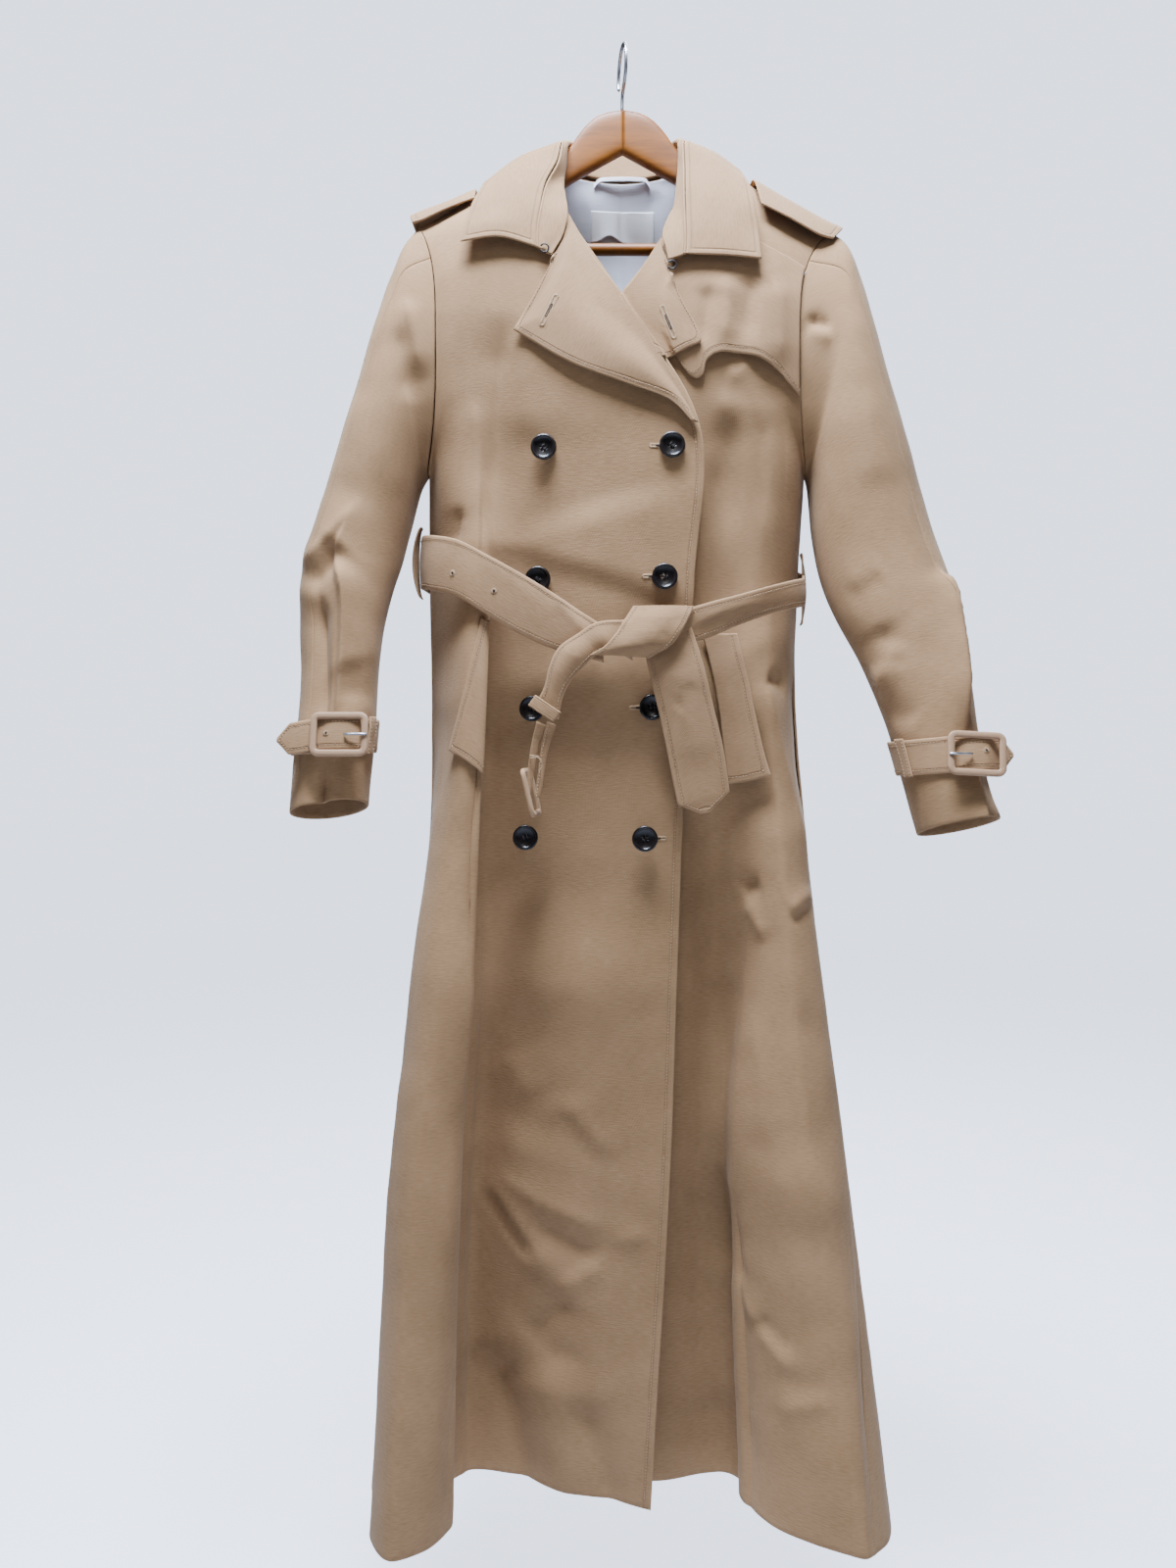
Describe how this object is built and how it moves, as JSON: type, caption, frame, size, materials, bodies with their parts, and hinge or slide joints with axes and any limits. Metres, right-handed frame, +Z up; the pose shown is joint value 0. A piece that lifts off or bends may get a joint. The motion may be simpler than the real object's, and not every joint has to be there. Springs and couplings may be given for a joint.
{
  "type": "trench coat on wooden hanger",
  "caption": "Long double-breasted trench coat with knotted belt, storm flap, epaulettes and cuff straps, hung on a wooden hanger with a trouser bar and wire hook.",
  "frame": {"origin": "inside of the top of the hanger's wire hook, where it rests on a rail", "axes": "+Z up, -Y out of the coat's front, +X to the wearer's left side"},
  "size_m": [0.6874, 0.2444, 1.4793],
  "materials": {
    "gabardine": "matte cotton twill",
    "satin": "white satin lining",
    "label": "blank woven label",
    "buttons": "dark horn look",
    "buckle_cover": "thin leather cover",
    "wood": "clear varnish",
    "steel": "bright wire",
    "black_steel": "black"
  },
  "bodies": {
    "root": {"front_right": "gabardine", "front_left": "gabardine", "back": "gabardine", "sleeve_right_upper": "gabardine", "sleeve_right_under": "gabardine", "sleeve_left_upper": "gabardine", "sleeve_left_under": "gabardine", "lapel_right": "gabardine", "lapel_left": "gabardine", "collar_fall": "gabardine", "collar_stand": "gabardine", "storm_flap": "gabardine", "epaulette_right": "gabardine", "epaulette_left": "gabardine", "welt_right": "gabardine", "welt_left": "gabardine", "belt_right": "gabardine", "belt_back": "gabardine", "belt_left": "gabardine", "belt_knot": "gabardine", "belt_pointed_end": "gabardine", "belt_buckle_end": "gabardine", "belt_thin_strap": "gabardine", "belt_keeper": "gabardine", "belt_buckle": "gabardine", "belt_loop_right": "gabardine", "belt_loop_left": "gabardine", "cuff_strap_right": "gabardine", "cuff_strap_left": "gabardine", "cuff_tip_right": "gabardine", "cuff_tip_left": "gabardine", "cuff_keeper_right": "gabardine", "cuff_keeper_left": "gabardine", "neck_lining": "satin", "hanger_loop": "satin", "label": "label", "button_1_outer": "buttons", "button_1_inner": "buttons", "button_2_outer": "buttons", "button_2_inner": "buttons", "button_3_outer": "buttons", "button_3_inner": "buttons", "button_4_outer": "buttons", "button_4_inner": "buttons", "cuff_buckle_right": "buckle_cover", "cuff_buckle_left": "buckle_cover", "hanger_right": "wood", "hanger_left": "wood", "hanger_bar": "wood", "hanger_hook": "steel", "collar_eye": "black_steel", "collar_hook": "black_steel", "cuff_prong_right": "black_steel", "cuff_prong_left": "black_steel"}
  },
  "joints": []
}
